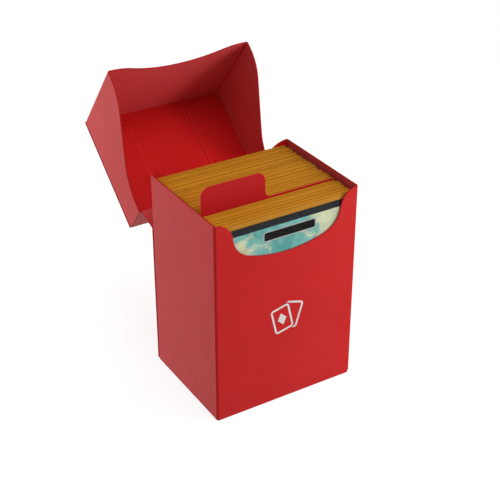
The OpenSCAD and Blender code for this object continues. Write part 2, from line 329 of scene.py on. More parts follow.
RUB_TINT = 0.012           # how far rubbing shifts the colour
RUB_ROUGHNESS = 0.05       # and how much rougher it makes the sheet
SHEET_SPECULAR = 0.16      # polypropylene with a fine sand finish reflects little
SHEET_SHEEN = 0.15         # the sand finish scatters light at a grazing view
SHEET_SHEEN_ROUGHNESS = 0.3
FOLD_SPECULAR = 0.10
FILM_SPECULAR = 0.15       # matt sleeves
PRINT_SPECULAR = 0.06      # matt printed card
CLEAR_FILM_GLOSS = 0.10    # reflection of the clear film at a grazing view
CLEAR_FILM_LEAST = 0.002   # and seen straight on


def sheet_plastic(name, colour, deep, roughness=0.42):
    """Satin polypropylene: a fine sand grain, faint clouding, and light rubbing marks."""
    s = Shader(name)
    clouds = s.noise(38, detail=3)
    base = s.mix(s.remap(clouds, 0.35, 0.65, smooth=True), deep, colour)
    grain = s.noise(3600, detail=2)
    sway = s.noise(75, detail=1)
    rub = s.noise(90, detail=3, roughness=0.6, shift=(0.3, 0.1, 0.7))
    rubbed = s.remap(rub, 0.60, 0.75, smooth=True)
    shade = s.mix(s.math("MULTIPLY", rubbed, RUB_TINT), base, RUBBED_RED)
    rough = s.remap(s.noise(420, detail=3), 0.3, 0.7, roughness - 0.04, roughness + 0.05)
    rough = s.math("ADD", rough, s.math("MULTIPLY", rubbed, RUB_ROUGHNESS))
    normal = s.bump((sway, 0.015 * MM), (grain, 0.006 * MM))
    return s.surface(shade, rough, normal, SHEET_SPECULAR, **{
        "Sheen Weight": SHEET_SHEEN, "Sheen Roughness": SHEET_SHEEN_ROUGHNESS,
        "Sheen Tint": (1, 1, 1, 1)})


def speckled(name, colour, other, grain, spread, rough, depth, specular=0.5, **noise):
    """A colour that turns into another in specks, so many a metre, which are a little raised."""
    s = Shader(name)
    specks = s.noise(grain, **noise)
    base = s.mix(s.remap(specks, *spread), colour, other)
    normal = s.bump((specks, depth))
    return s.surface(base, s.remap(specks, 0.3, 0.7, *rough), normal, specular)


def cut_edge(name, colour):
    """A die-cut edge, with the cutting blade's fine marks."""
    return speckled(
        name, colour, SHEET_RED, 900, spread=(0.35, 0.65, 0, 0.5), rough=(0.38, 0.52),
        depth=0.008 * MM, specular=SHEET_SPECULAR)


def folded_plastic(name, colour):
    """The sheet where it is folded: stretched smooth, with faint stress lines along it. The folds'
    colour is a little darker than the sheet: painted shade along the folds.
    """
    s = Shader(name)
    stress = s.noise(260, detail=4, roughness=0.65)
    base = s.mix(s.remap(stress, 0.45, 0.75, 0, 0.35, smooth=True), colour, SHEET_RED)
    normal = s.bump((s.noise(1500), 0.004 * MM))
    rough = s.remap(stress, 0.3, 0.7, 0.44, 0.56)
    return s.surface(base, rough, normal, FOLD_SPECULAR)


def weld_plastic():
    """Sheet melted by the welding tip: dark and glossy, with tiny pits."""
    return speckled(
        "weld_plastic", WELD_RED, FOLD_RED_PAINTED_SHADE, 2600, spread=(0.4, 0.65), rough=(0.25, 0.4),
        depth=0.02 * MM, specular=SHEET_SPECULAR)


def sleeve_film(name, colour, shade):
    """Matt film of a card sleeve: each sleeve a little different, with fine rubbing."""
    s = Shader(name)
    island = s.node("ShaderNodeNewGeometry").outputs["Random Per Island"]
    cloud = s.noise(120, detail=2)
    amount = s.math("ADD", s.math("MULTIPLY", island, 0.5), s.math("MULTIPLY", cloud, 0.5))
    base = s.mix(s.remap(amount, 0.15, 0.65), shade, colour)
    haze = s.noise(2200, detail=2)
    rough = s.remap(haze, 0.3, 0.7, 0.41, 0.54)
    normal = s.bump((haze, 0.004 * MM))
    return s.surface(base, rough, normal, FILM_SPECULAR)


def card_stock():
    """The cut edge and face of game cards: white board with a grey core."""
    return speckled(
        "card_stock", CARD_CORE, CARD_STOCK, 1800, spread=(0.3, 0.7), rough=(0.55, 0.7),
        depth=0.01 * MM, detail=3, stretch=(1, 4, 1))


def card_picture():
    """A plain painted sky: cream clouds at both sides of a teal middle, with brush texture."""
    s = Shader("card_picture_print")
    drift = s.noise(
        70, detail=6, roughness=0.62, stretch=(1, 1, 1.5), shift=(0.030, 0, 0.013), distortion=0.8)
    depth = s.noise(130, detail=5, roughness=0.6, shift=(0.5, 0.2, 0.1), distortion=0.8)
    strokes = s.noise(800, detail=3, stretch=(1, 1, 2.5), distortion=1.2)
    across = s.node("ShaderNodeSeparateXYZ", {"Vector": s.coords}).outputs[0]
    right = s.remap(across, 4 * MM, 26 * MM, 0, 0.22, smooth=True)
    left = s.remap(across, -20 * MM, -29 * MM, 0, 0.12, smooth=True)
    sky = s.mix(s.remap(depth, 0.35, 0.65), SKY_DEEP, SKY_PALE)
    cloud = s.mix(s.remap(depth, 0.35, 0.7), CLOUD_GREEN, CLOUD_CREAM)
    ragged = s.remap(strokes, 0.0, 1.0, -0.06, 0.06)
    amount = s.math("ADD", s.math("ADD", drift, ragged), s.math("ADD", right, left))
    base = s.mix(s.remap(amount, 0.52, 0.64, smooth=True), sky, cloud)
    rough = s.remap(strokes, 0.3, 0.7, 0.42, 0.52)
    normal = s.bump((strokes, 0.002 * MM))
    return s.surface(base, rough, normal, PRINT_SPECULAR)


def plain_print(name, colour, worn, roughness, grain=1600, detail=3):
    """Printing ink of one colour, a little uneven."""
    return speckled(
        name, colour, worn, grain, spread=(0.35, 0.65), rough=(roughness - 0.05, roughness + 0.05),
        depth=0.003 * MM, specular=PRINT_SPECULAR, detail=detail)


def clear_film():
    """Clear front of the face card's sleeve."""
    s = Shader("clear_film")
    haze = s.remap(s.noise(500), 0.3, 0.7, 0.10, 0.18)
    glossy = s.node("ShaderNodeBsdfGlossy", {
        "Color": (1, 1, 1, 1), "Roughness": haze, "Normal": s.bump((s.noise(60), 0.02 * MM))})
    clear = s.node("ShaderNodeBsdfTransparent", {"Color": (0.98, 0.98, 0.98, 1)})
    facing = s.node("ShaderNodeLayerWeight", {"Blend": 0.3}).outputs["Facing"]
    gloss = s.remap(facing, 0.3, 1.0, CLEAR_FILM_LEAST, CLEAR_FILM_GLOSS)
    return s.show(
        s.node("ShaderNodeMixShader", {0: gloss, 1: clear.outputs[0], 2: glossy.outputs[0]}))


RED_SHEET = sheet_plastic("red_sheet", SHEET_RED, SHEET_RED_DEEP)
DIVIDER_SHEET = sheet_plastic("divider_red_sheet", DIVIDER_RED, DIVIDER_RED_DEEP, roughness=0.46)
# painted sheen on the inner faces of the walls, the lid and the link
RED_INSIDE_PAINTED_SHEEN = sheet_plastic("red_sheet_inside_painted_sheen", INSIDE_RED_PAINTED_SHEEN, INSIDE_RED_DEEP_PAINTED_SHEEN, roughness=0.5)
# painted shade on the die-cut edges
CUT_EDGE_PAINTED_SHADE = cut_edge("sheet_cut_edge_painted_shade", EDGE_RED_PAINTED_SHADE)
# painted highlight on the lid flaps' cut edges
PAINTED_HIGHLIGHT_EDGE = cut_edge("cut_edge_painted_highlight", PAINTED_HIGHLIGHT_EDGE_RED)
# painted highlight on the divider's cut edges
DIVIDER_EDGE_PAINTED_HIGHLIGHT = cut_edge("divider_cut_edge_painted_highlight", DIVIDER_EDGE_RED_PAINTED_HIGHLIGHT)
# painted shade along the folds
FOLDED_PAINTED_SHADE = folded_plastic("folded_sheet_painted_shade", FOLD_RED_PAINTED_SHADE)
CREASED = folded_plastic("creased_sheet", CREASE_RED)
WELD = weld_plastic()
GOLD_FILM = sleeve_film("gold_sleeve_film", SLEEVE_GOLD, SLEEVE_SHADE)
GOLD_FACE_PAINTED_SHADE = sleeve_film("gold_sleeve_face_painted_shade", FACE_GOLD_PAINTED_SHADE, FACE_GOLD_DEEP_PAINTED_SHADE)    # painted shade: the films' faces, darker than their rims, so the gaps between sleeves look dark
CORE = card_stock()
BORDER = plain_print(
    "card_border_print", BORDER_GREY, BORDER_GREY_WORN, roughness=0.45, grain=2400, detail=2)
PICTURE = card_picture()
PLATE_BLACK = plain_print("nameplate_black", PLATE_INK, PLATE_INK_WORN, roughness=0.45)
PLATE_LINE = plain_print("nameplate_line", LINE_INK, LINE_INK_WORN, roughness=0.4)
CLEAR = clear_film()
INK = plain_print("white_ink", INK_WHITE, INK_WHITE_WORN, roughness=0.5)

# ---------- mesh building ----------


def arc(centre, r, start, end, step=3.0):
    """Points on an arc, its angles and the step between its points in degrees."""
    count = max(1, math.ceil(abs(end - start) / step))
    angles = [math.radians(start + (end - start) * i / count) for i in range(count + 1)]
    return [(centre[0] + r * math.cos(a), centre[1] + r * math.sin(a)) for a in angles]


def mirrored(path):
    return [(-u, v) for u, v in reversed(path)]


def joined(*paths):
    """One closed outline from several stretches, without doubled points."""
    points = []
    for point in [p for path in paths for p in path]:
        if not points or math.dist(point, points[-1]) > SAME_POINT:
            points.append(point)
    if math.dist(points[0], points[-1]) < SAME_POINT:
        points.pop()
    return points


def rounded_rectangle(centre, size, r, step=6.0):
    x, y = centre
    w, h = size[0] / 2 - r, size[1] / 2 - r
    return joined(
        arc((x + w, y + h), r, 0, 90, step), arc((x - w, y + h), r, 90, 180, step),
        arc((x - w, y - h), r, 180, 270, step), arc((x + w, y - h), r, 270, 360, step))


def circle(centre, r, step=15.0):
    return joined(arc(centre, r, 0, 360, step))


def rectangle(lo, hi, u, v):
    """Outline of a box across two of its axes, 0 to 2 for X to Z."""
    return [(lo[u], lo[v]), (hi[u], lo[v]), (hi[u], hi[v]), (lo[u], hi[v])]


def smoothstep(share):
    return share * share * (3 - 2 * share)


def in_xz(y):
    """Places an outline drawn in X and Z, with its thickness along +Y."""
    return lambda u, v, w: Vector((u, y + w, v))


def in_yz(x):
    return lambda u, v, w: Vector((x + w, u, v))


def in_xy(z):
    return lambda u, v, w: Vector((u, v, z + w))


def mirror_x(place):
    def placed(u, v, w):
        point = place(u, v, w)
        return Vector((-point.x, point.y, point.z))
    return placed


def inset_directions(outline, free):
    """For each point of an outline, the way its free edges draw in, one unit from each."""
    count = len(outline)
    normals = []
    for i in range(count):
        du = outline[(i + 1) % count][0] - outline[i][0]
        dv = outline[(i + 1) % count][1] - outline[i][1]
        length = math.hypot(du, dv)
        normals.append((-dv / length, du / length))
    directions = []
    for i in range(count):
        a, b = normals[i - 1], normals[i]
        want_a, want_b = float(free[i - 1]), float(free[i])
        turn = a[0] * b[1] - a[1] * b[0]
        if abs(turn) < NEARLY_STRAIGHT:
            normal, want = (a, want_a) if free[i - 1] else (b, want_b)
            directions.append((normal[0] * want, normal[1] * want))
        else:
            du = (want_a * b[1] - want_b * a[1]) / turn
            dv = (want_b * a[0] - want_a * b[0]) / turn
            directions.append((du, dv))
    return directions


def rim_profile(thickness, r):
    """(inset, depth) steps round a rounded rim, from one face of the sheet to the other."""
    angles = [math.radians(a) for a in RIM_ANGLES]
    steps = [(r * (1 - math.sin(a)), r * (1 - math.cos(a))) for a in angles]
    return steps + [(inset, thickness - depth) for inset, depth in reversed(steps)]


def add_band(bm, low, high, smooth=True):
    """Adds the faces between two loops of as many vertices, and gives them in order."""
    faces = []
    for i in range(len(low)):
        j = (i + 1) % len(low)
        faces.append(bm.faces.new((low[i], low[j], high[j], high[i])))
        faces[-1].smooth = smooth
    return faces


def make_plate(
        name, node, body, materials, outlines, place, free=None, thickness=SHEET_T, rim=RIM_R):
    """Makes a flat piece of sheet. The first outline goes round it anticlockwise and the others are
    holes. free says which edges of the first are cut, with the second material on them; the rest
    butt against a fold. A third material goes on the face at the far side."""
    bm = bmesh.new()
    loops = []
    for k, outline in enumerate(outlines):
        points = outline if k == 0 else list(reversed(outline))
        edges = free if k == 0 and free else [True] * len(points)
        directions = inset_directions(points, edges)
        rings = []
        for inset, depth in rim_profile(thickness, rim):
            rings.append([
                bm.verts.new(place(p[0] + d[0] * inset, p[1] + d[1] * inset, depth))
                for p, d in zip(points, directions)])
        for low, high in zip(rings, rings[1:]):
            for face, cut in zip(add_band(bm, low, high), edges):
                face.material_index = 1 if cut and k == 0 else 0
        loops.append(rings)
    for side, index in ((0, 0), (-1, 2 if len(materials) == 3 else 0)):
        rings = [loop[side] for loop in loops]
        verts = [v for ring in rings for v in ring]
        corners = [range(len(verts))] if len(rings) == 1 else tessellate_polygon([
            [v.co for v in ring] for ring in rings])
        for corner in corners:
            face = bm.faces.new([verts[i] for i in corner])
            face.material_index = index
            face.smooth = True
    finish_piece(name, bm, materials, node, body)


def make_pair(name, node, body, materials, outlines, place, free):
    """Makes a flat piece on the left and its mirror image on the right."""
    for side, placed in (("left", place), ("right", mirror_x(place))):
        make_plate(name.format(side), node.format(side), body, materials, outlines, placed, free)


def add_fold(bm, corner, run_a, run_b, along, length):
    """Adds the quarter round between two panels that run from the outer corner along run_a and
    run_b. Its two ends are cut."""
    run_a, run_b, along = Vector(run_a), Vector(run_b), Vector(along)
    centre = Vector(corner) + FOLD_R * (run_a + run_b)
    near_end, far_end = RIM_R, length - RIM_R
    section = [
        point
        for depth, at, start in (
            (RIM_R, near_end, 180), (SHEET_T - RIM_R, near_end, 270),
            (SHEET_T - RIM_R, far_end, 0), (RIM_R, far_end, 90))
        for point in arc((depth, at), RIM_R, start, start + 90, step=30)]
    rings = []
    for i in range(FOLD_STEPS + 1):
        angle = math.radians(90 * i / FOLD_STEPS)
        out = -run_b * math.cos(angle) - run_a * math.sin(angle)
        inner = centre + out * (FOLD_R - SHEET_T)
        rings.append([bm.verts.new(inner + out * depth + along * at) for depth, at in section])
    middles = [(a[1] + b[1]) / 2 for a, b in zip(section, [*section[1:], section[0]])]
    for low, high in zip(rings, rings[1:]):
        for face, at in zip(add_band(bm, low, high), middles):
            face.material_index = 1 if at < near_end or at > far_end else 0
    bm.faces.new(rings[0])
    bm.faces.new(rings[-1])


def add_lathe(bm, centre, axis, profile):
    """Adds a solid of revolution from (radius, height) points, the first and last on the axis."""
    axis = Vector(axis)
    side = axis.orthogonal().normalized()
    other = axis.cross(side)
    turns = [2 * math.pi * i / LATHE_STEPS for i in range(LATHE_STEPS)]
    rings = []
    for r, h in profile:
        middle = Vector(centre) + axis * h
        spokes = [Vector()]
        if r:
            spokes = [(side * math.cos(a) + other * math.sin(a)) * r for a in turns]
        rings.append([bm.verts.new(middle + spoke) for spoke in spokes])
    for low, high in zip(rings, rings[1:]):
        for i in range(LATHE_STEPS):
            j = (i + 1) % LATHE_STEPS
            corners = (
                low[i % len(low)], low[j % len(low)], high[j % len(high)], high[i % len(high)])
            face = bm.faces.new(list(dict.fromkeys(corners)))
            face.smooth = True


def finish_piece(name, bm, materials, node, body=None, sharp=40):
    """Makes the object, turns it from the shut position to its place at rest, hangs it on its body if
    it has one, and hides the CAD part it stands for. Edges that turn by more than sharp, in degrees,
    stay sharp."""
    bmesh.ops.recalc_face_normals(bm, faces=bm.faces)
    for edge in bm.edges:
        if len(edge.link_faces) == 2 and edge.calc_face_angle(0) > math.radians(sharp):
            edge.smooth = False
    mesh = bpy.data.meshes.new(name)
    bm.to_mesh(mesh)
    bm.free()
    mesh.transform(OPEN_POSES.get(body, AT_REST))
    piece = bpy.data.objects.new(name, mesh)
    bpy.context.scene.collection.objects.link(piece)
    for material in materials:
        mesh.materials.append(material)
    even = piece.modifiers.new("even_normals", "WEIGHTED_NORMAL")
    even.keep_sharp = True
    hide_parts(node)
    if body:
        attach(piece, body)
    return piece


def free_except(outline, *butted):
    """Which edges of an outline are cut: all but those whose two ends both pass a test."""
    count = len(outline)
    ends = [(outline[i], outline[(i + 1) % count]) for i in range(count)]
    return [not any(test(a) and test(b) for test in butted) for a, b in ends]


def near(value, index):
    """A test for points whose coordinate of that index is that value."""
    return lambda point: abs(point[index] - value) < ON_LINE


# ---------- box ----------

# Materials of a plate: its first face, its cut edges, and its far face if that one differs.
SHEET = (RED_SHEET, CUT_EDGE_PAINTED_SHADE)
# the far face is the inner one and takes the painted-sheen red
SHEET_PAINTED_SHEEN_INSIDE = (RED_SHEET, CUT_EDGE_PAINTED_SHADE, RED_INSIDE_PAINTED_SHEEN)
# the flaps' cut edges take the pale edge colour, a painted highlight against their shade
FLAP_SHEET = (RED_SHEET, PAINTED_HIGHLIGHT_EDGE)
# the link's inner face takes the painted-sheen red
LINK_SHEET = (RED_INSIDE_PAINTED_SHEEN, CUT_EDGE_PAINTED_SHADE, RED_SHEET)    # its first face is the inner one
FOLD = (FOLDED_PAINTED_SHADE, CUT_EDGE_PAINTED_SHADE)


def make_cross_panel(name, node, body, lo, hi, holes=(), materials=SHEET):
    """A rectangular panel over the whole width: its ends are cut, and its two long edges run on
    into a fold or a crease."""
    level = hi.z - lo.z < hi.y - lo.y
    outline = rectangle(lo, hi, 0, 1 if level else 2)
    place = in_xy(lo.z) if level else in_xz(lo.y)
    make_plate(name, node, body, materials, [outline, *holes], place, [False, True, False, True])


def make_welded_flaps(node, body, lo, hi, holes, materials):
    """The left and the right flap of a floor or roof, tapered, with a hole round each weld spot."""
    outline = [(lo.x, lo.y), (hi.x, lo.y + FLAP_TAPER), (hi.x, hi.y - FLAP_TAPER), (lo.x, hi.y)]
    free = [True, True, True, False]
    make_pair(node + "_sheet", node, body, materials, [outline, *holes], in_xy(lo.z), free)


def scoop_half():
    """Right half of the scooped rim, from the shoulder down to the middle, in smooth arcs."""
    lean = math.radians(SCOOP_LEAN)
    shoulder = (HALF_W, RIM_Z - SCOOP_SHOULDER_R)
    reach = SCOOP_SHOULDER_R + SCOOP_CORNER_R
    corner = (shoulder[0] - reach * math.cos(lean), shoulder[1] + reach * math.sin(lean))
    drop = RIM_Z - SCOOP_DEPTH - corner[1]
    floor_r = (SCOOP_CORNER_R ** 2 - drop ** 2 - corner[0] ** 2) / (2 * (drop + SCOOP_CORNER_R))
    middle = (0, RIM_Z - SCOOP_DEPTH + floor_r)
    turn = math.degrees(math.atan2(corner[1] - middle[1], corner[0]))
    start = math.degrees(math.acos((HALF_W - FOLD_R - shoulder[0]) / SCOOP_SHOULDER_R))
    return joined(
        arc(shoulder, SCOOP_SHOULDER_R, start, 180 - SCOOP_LEAN),
        arc(corner, SCOOP_CORNER_R, -SCOOP_LEAN, turn),
        arc(middle, floor_r, turn, -90, step=1))


def make_front_panel():
    rim = scoop_half()
    outline = joined([(front_lo.x, FOLD_R), (front_hi.x, FOLD_R)], rim, mirrored(rim))
    free = free_except(outline, near(FOLD_R, 1), near(front_lo.x, 0), near(front_hi.x, 0))
    make_plate("front_sheet", "front_panel", "box", SHEET, [outline], in_xz(FRONT_Y), free)


def make_side_panels():
    outline = rectangle(side_lo, side_hi, 1, 2)
    free = [False, False, True, False]
    make_pair("{}_side_sheet", "{}_side_panel", "box", SHEET_PAINTED_SHEEN_INSIDE, [outline], in_yz(-HALF_W), free)


def make_rear_flaps():
    """Flaps behind the cards: rounded down from the rim, then sloping, with tapered lower ends."""
    inner = FLAP_W - HALF_W
    start = 90 - math.degrees(math.asin(FOLD_R / REAR_FLAP_R))
    shoulder = arc((-HALF_W, RIM_Z - REAR_FLAP_R), REAR_FLAP_R, start, REAR_FLAP_SLOPE)
    last = shoulder[-1]
    outline = joined(
        [(inner, rear_flap_lo.z + FLAP_TAPER), (inner, last[1] - (inner - last[0]))],
        list(reversed(shoulder)), [(FOLD_R - HALF_W, rear_flap_lo.z)])
    free = free_except(outline, near(FOLD_R - HALF_W, 0))
    place = in_xz(rear_flap_lo.y)
    make_pair("{}_rear_flap_sheet", "{}_rear_flap", "box", SHEET, [outline], place, free)


def back_weld_centres():
    x = HALF_W - FLAP_W + WELD_INSET
    return [(side * x, z) for side in (-1, 1) for z in BACK_WELD_HEIGHTS]


def dimple(r, thickness):
    """Profile of a weld spot: a shallow dish with a raised lip, over a flat foot."""
    dish = [(share * r, thickness - depth * MM) for share, depth in WELD_DISH]
    return [(0, 0), (r, 0), *dish]


def make_back_welds():
    lo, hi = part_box("back_weld_spots")
    bm = bmesh.new()
    for x, z in back_weld_centres():
        add_lathe(bm, (x, lo.y, z), (0, 1, 0), dimple(WELD_R, hi.y - lo.y))
    finish_piece("back_weld_dimples", bm, (WELD,), "back_weld_spots", "box", sharp=60)


def bottom_weld_centres():
    return [(-HALF_W + FLAP_W - WELD_INSET, y) for y in BOTTOM_WELD_PLACES]


def make_bottom_welds():
    lo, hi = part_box("bottom_weld_spots")
    bm = bmesh.new()
    for x, y in bottom_weld_centres():
        for side in (-1, 1):
            add_lathe(bm, (side * x, y, lo.z), (0, 0, 1), dimple(WELD_R, hi.z - lo.z))
    finish_piece(
        "bottom_weld_dimples", bm, (WELD,), "bottom_weld_spots", "box", sharp=60)


def make_box_folds():
    lo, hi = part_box("corner_folds")
    bm = bmesh.new()
    for side in (-1, 1):
        for y, inward in ((FRONT_Y, 1), (rear_flap_hi.y, -1)):
            start = (side * HALF_W, y, lo.z)
            add_fold(bm, start, (0, inward, 0), (-side, 0, 0), (0, 0, 1), hi.z - lo.z)
    finish_piece("corner_fold_sheets", bm, FOLD, "corner_folds", "box")

    lo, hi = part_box("bottom_folds")
    bm = bmesh.new()
    for y, inward in ((FRONT_Y, 1), (BACK_Y, -1)):
        add_fold(bm, (lo.x, y, lo.z), (0, inward, 0), (0, 0, 1), (1, 0, 0), hi.x - lo.x)
    finish_piece("bottom_fold_sheets", bm, FOLD, "bottom_folds", "box")

    lo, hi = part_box("bottom_flap_folds")
    bm = bmesh.new()
    for side in (-1, 1):
        add_fold(bm, (side * HALF_W, lo.y, lo.z), (0, 0, 1), (-side, 0, 0), (0, 1, 0), hi.y - lo.y)
    finish_piece("bottom_flap_fold_sheets", bm, FOLD, "bottom_flap_folds", "box")


def make_emblem():
    """The printed mark keeps its CAD shape and gets an ink of its own."""
    emblem = frame["nodes"]["front_emblem"]
    emblem.data.materials.clear()
    emblem.data.materials.append(INK)


# ---------- hinge ----------


def crease_section(crease_z):
    """Section of the shut position's thin web, from the panel below the crease to the one above."""
    heights = [crease_z - CREASE_GAP + 2 * CREASE_GAP * i / WEB_STEPS for i in range(WEB_STEPS + 1)]
    outside = [(BACK_Y, z) for z in heights]
    inside = []
    for z in heights:
        ease = smoothstep(min(1.0, abs(z - crease_z) / CREASE_GAP))
        inside.append((BACK_Y - WEB_T - (SHEET_T - WEB_T) * ease, z))
    return outside + list(reversed(inside))


def make_crease(name, node, crease_z, degrees, below_pose):
    """The web of a crease, bent to its angle at rest."""
    points = []
    for y, z in crease_section(crease_z):
        weight = smoothstep((z - crease_z + CREASE_GAP) / (2 * CREASE_GAP))
        turn = turned_open(Vector((0, CREASE_Y, crease_z)), degrees * weight)
        points.append(below_pose @ turn @ Vector((0, y, z)))
    bm = bmesh.new()
    stations = [-HALF_W + 2 * HALF_W * i / WEB_STATIONS for i in range(WEB_STATIONS + 1)]
    rings = [[bm.verts.new(Vector((x, p.y, p.z))) for p in points] for x in stations]
    for low, high in zip(rings, rings[1:]):
        add_band(bm, low, high)
    bm.faces.new(rings[0])
    bm.faces.new(rings[-1])
    piece = finish_piece(name, bm, (CREASED,), node)
    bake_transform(piece)


# ---------- lid ----------


def arch_half():
    """Right half of the lid front's lower edge: an arc at the corner that runs into the arch."""
    end_r = (ARCH_HALF_SPAN ** 2 + ARCH_RISE ** 2) / (2 * ARCH_RISE) - ARCH_R
    end = (ARCH_HALF_SPAN, LID_LOW + end_r)
    middle = (0, LID_LOW + ARCH_RISE - ARCH_R)
    turn = math.degrees(math.atan2(end[1] - middle[1], end[0]))
    return joined(
        arc(end, end_r, 270, 180 + turn, step=1.5), arc(middle, ARCH_R, turn, 90, step=1.5))


def make_lid_front():
    half = LID_HALF_W - FOLD_R
    top = LID_TOP - FOLD_R
    edge = arch_half()
    outline = joined(
        [(-half, top), (-half, LID_LOW)], list(reversed(mirrored(edge))),
        list(reversed(edge)), [(half, LID_LOW), (half, top)])
    free = free_except(outline, near(top, 1), near(-half, 0), near(half, 0))
    place = in_xz(LID_FRONT_Y)
    make_plate("lid_front_sheet", "lid_front_panel", "lid", SHEET_PAINTED_SHEEN_INSIDE, [outline], place, free)


def side_edge():
    """A lid side's lower edge, from the front corner up the slope to the rear."""
    slope = math.radians(SIDE_SLOPE)
    rear_z = UPPER_CREASE_Z + SIDE_REAR_RISE
    bends = SIDE_FRONT_R + SIDE_REAR_R
    slope_len = (rear_z - LID_LOW - bends * (1 - math.cos(slope))) / math.sin(slope)
    front = (LID_FRONT_Y + SIDE_FRONT_FLAT, LID_LOW + SIDE_FRONT_R)
    rear_y = front[0] + bends * math.sin(slope) + slope_len * math.cos(slope)
    rear = (rear_y, rear_z - SIDE_REAR_R)
    return joined(
        arc(front, SIDE_FRONT_R, 270, 270 + SIDE_SLOPE, step=2),
        arc(rear, SIDE_REAR_R, 90 + SIDE_SLOPE, 90, step=2),
        [(BACK_Y, rear_z)])


def make_lid_sides():
    top = roof_lo.z - FOLD_R
    front = LID_FRONT_Y + FOLD_R
    outline = joined([(front, LID_LOW)], side_edge(), [(BACK_Y, top), (front, top)])
    free = free_except(outline, near(top, 1), near(front, 0))
    place = in_yz(-LID_HALF_W)
    make_pair("lid_{}_sheet", "lid_{}_panel", "lid", SHEET_PAINTED_SHEEN_INSIDE, [outline], place, free)


def roof_weld_centres():
    x = LID_HALF_W - ROOF_FLAP_W + WELD_INSET
    return [(-x, LID_FRONT_Y + FIRST_ROOF_WELD + ROOF_WELD_PITCH * i) for i in range(ROOF_WELDS)]


def make_lid_welds():
    lo, hi = shut_box("lid_weld_spots", LID_POSE)
    bm = bmesh.new()
    for x, y in roof_weld_centres():
        for side in (-1, 1):
            add_lathe(bm, (side * x, y, hi.z), (0, 0, -1), dimple(ROOF_WELD_R, hi.z - lo.z))
    finish_piece("lid_weld_dimples", bm, (WELD,), "lid_weld_spots", "lid", sharp=60)


def make_lid_folds():
    lo, hi = shut_box("lid_corner_folds", LID_POSE)
    bm = bmesh.new()
    for side in (-1, 1):
        start = (side * LID_HALF_W, LID_FRONT_Y, lo.z)
        add_fold(bm, start, (0, 1, 0), (-side, 0, 0), (0, 0, 1), hi.z - lo.z)
    finish_piece("lid_corner_fold_sheets", bm, FOLD, "lid_corner_folds", "lid")

    bm = bmesh.new()
    for y, inward in ((LID_FRONT_Y, 1), (BACK_Y, -1)):
        start = (-LID_HALF_W, y, LID_TOP)
        add_fold(bm, start, (0, inward, 0), (0, 0, -1), (1, 0, 0), 2 * LID_HALF_W)
    finish_piece("lid_roof_fold_sheets", bm, FOLD, "lid_roof_folds", "lid")

    lo, hi = shut_box("lid_flap_folds", LID_POSE)
    bm = bmesh.new()
    for side in (-1, 1):
        start = (side * LID_HALF_W, lo.y, hi.z)
        add_fold(bm, start, (0, 0, -1), (-side, 0, 0), (0, 1, 0), hi.y - lo.y)
    finish_piece("lid_flap_fold_sheets", bm, FOLD, "lid_flap_folds", "lid")


# ---------- divider and cards ----------


def make_divider():
    lo, hi = divider_lo, divider_hi
    low = hi.z - TAB_H
    tab_x = lo.x + TAB_W
    outline = joined(
        [(lo.x, lo.z), (hi.x, lo.z)],
        arc((hi.x - DIVIDER_END_R, low - DIVIDER_END_R), DIVIDER_END_R, 0, 90),
        arc((tab_x + TAB_ROOT_R, low + TAB_ROOT_R), TAB_ROOT_R, 270, 180),
        arc((tab_x - TAB_R, hi.z - TAB_R), TAB_R, 0, 90),
        arc((lo.x + TAB_R, hi.z - TAB_R), TAB_R, 90, 180))
    # the cut edges take the lighter divider edge colour, a painted highlight
    make_plate(
        "divider_tab_sheet", "card_divider", "divider", (DIVIDER_SHEET, DIVIDER_EDGE_PAINTED_HIGHLIGHT), [outline],
        in_xz(lo.y), thickness=hi.y - lo.y, rim=DIVIDER_RIM_R)


def packs(count, rng):
    """The cards of a deck stand in small packs, as they were put in. Gives each card's place to the
    side, from -1 to 1, how deep it sits, and its share of the deck's spare room."""
    cards = []
    while len(cards) < count:
        aside = rng.uniform(-PACK_ASIDE, PACK_ASIDE)
        sunk = PACK_SUNK * rng.random()
        room = rng.uniform(*PACK_ROOM)
        for _ in range(rng.randint(*PACK_SIZE)):
            place = aside + rng.uniform(-CARD_ASIDE, CARD_ASIDE)
            cards.append((place, sunk + CARD_SUNK * rng.random() ** 2, room))
            room = CARD_ROOM
    return cards[:count]


def lean_places(rooms, depth, rng):
    """Where each card's four corners stand in a deck of that depth: runs of gaps, one for each
    corner, that share the spare room, so that the cards lean but never pass through each other."""
    spare = depth - len(rooms) * SLEEVE_T
    runs = []
    for _ in range(4):
        gaps = [room + LEAN_ROOM * rng.random() for room in rooms]
        scale = spare / sum(gaps)
        at, run = 0.0, []
        for gap in gaps:
            at += gap * scale
            run.append(at + SLEEVE_T / 2)
            at += SLEEVE_T
        runs.append(run)
    return [[run[i] for run in runs] for i in range(len(rooms))]


def leaning(corners, y0, x0):
    """The middle surface of a leaning card: y at each x and z."""
    def surface(x, z):
        u = (x - x0) / SLEEVE_W + 0.5
        v = (z - CARD_FLOOR) / (SLEEVE_TOP - CARD_FLOOR)
        low = corners[0] * (1 - u) + corners[1] * u
        high = corners[2] * (1 - u) + corners[3] * u
        return y0 + low * (1 - v) + high * v
    return surface


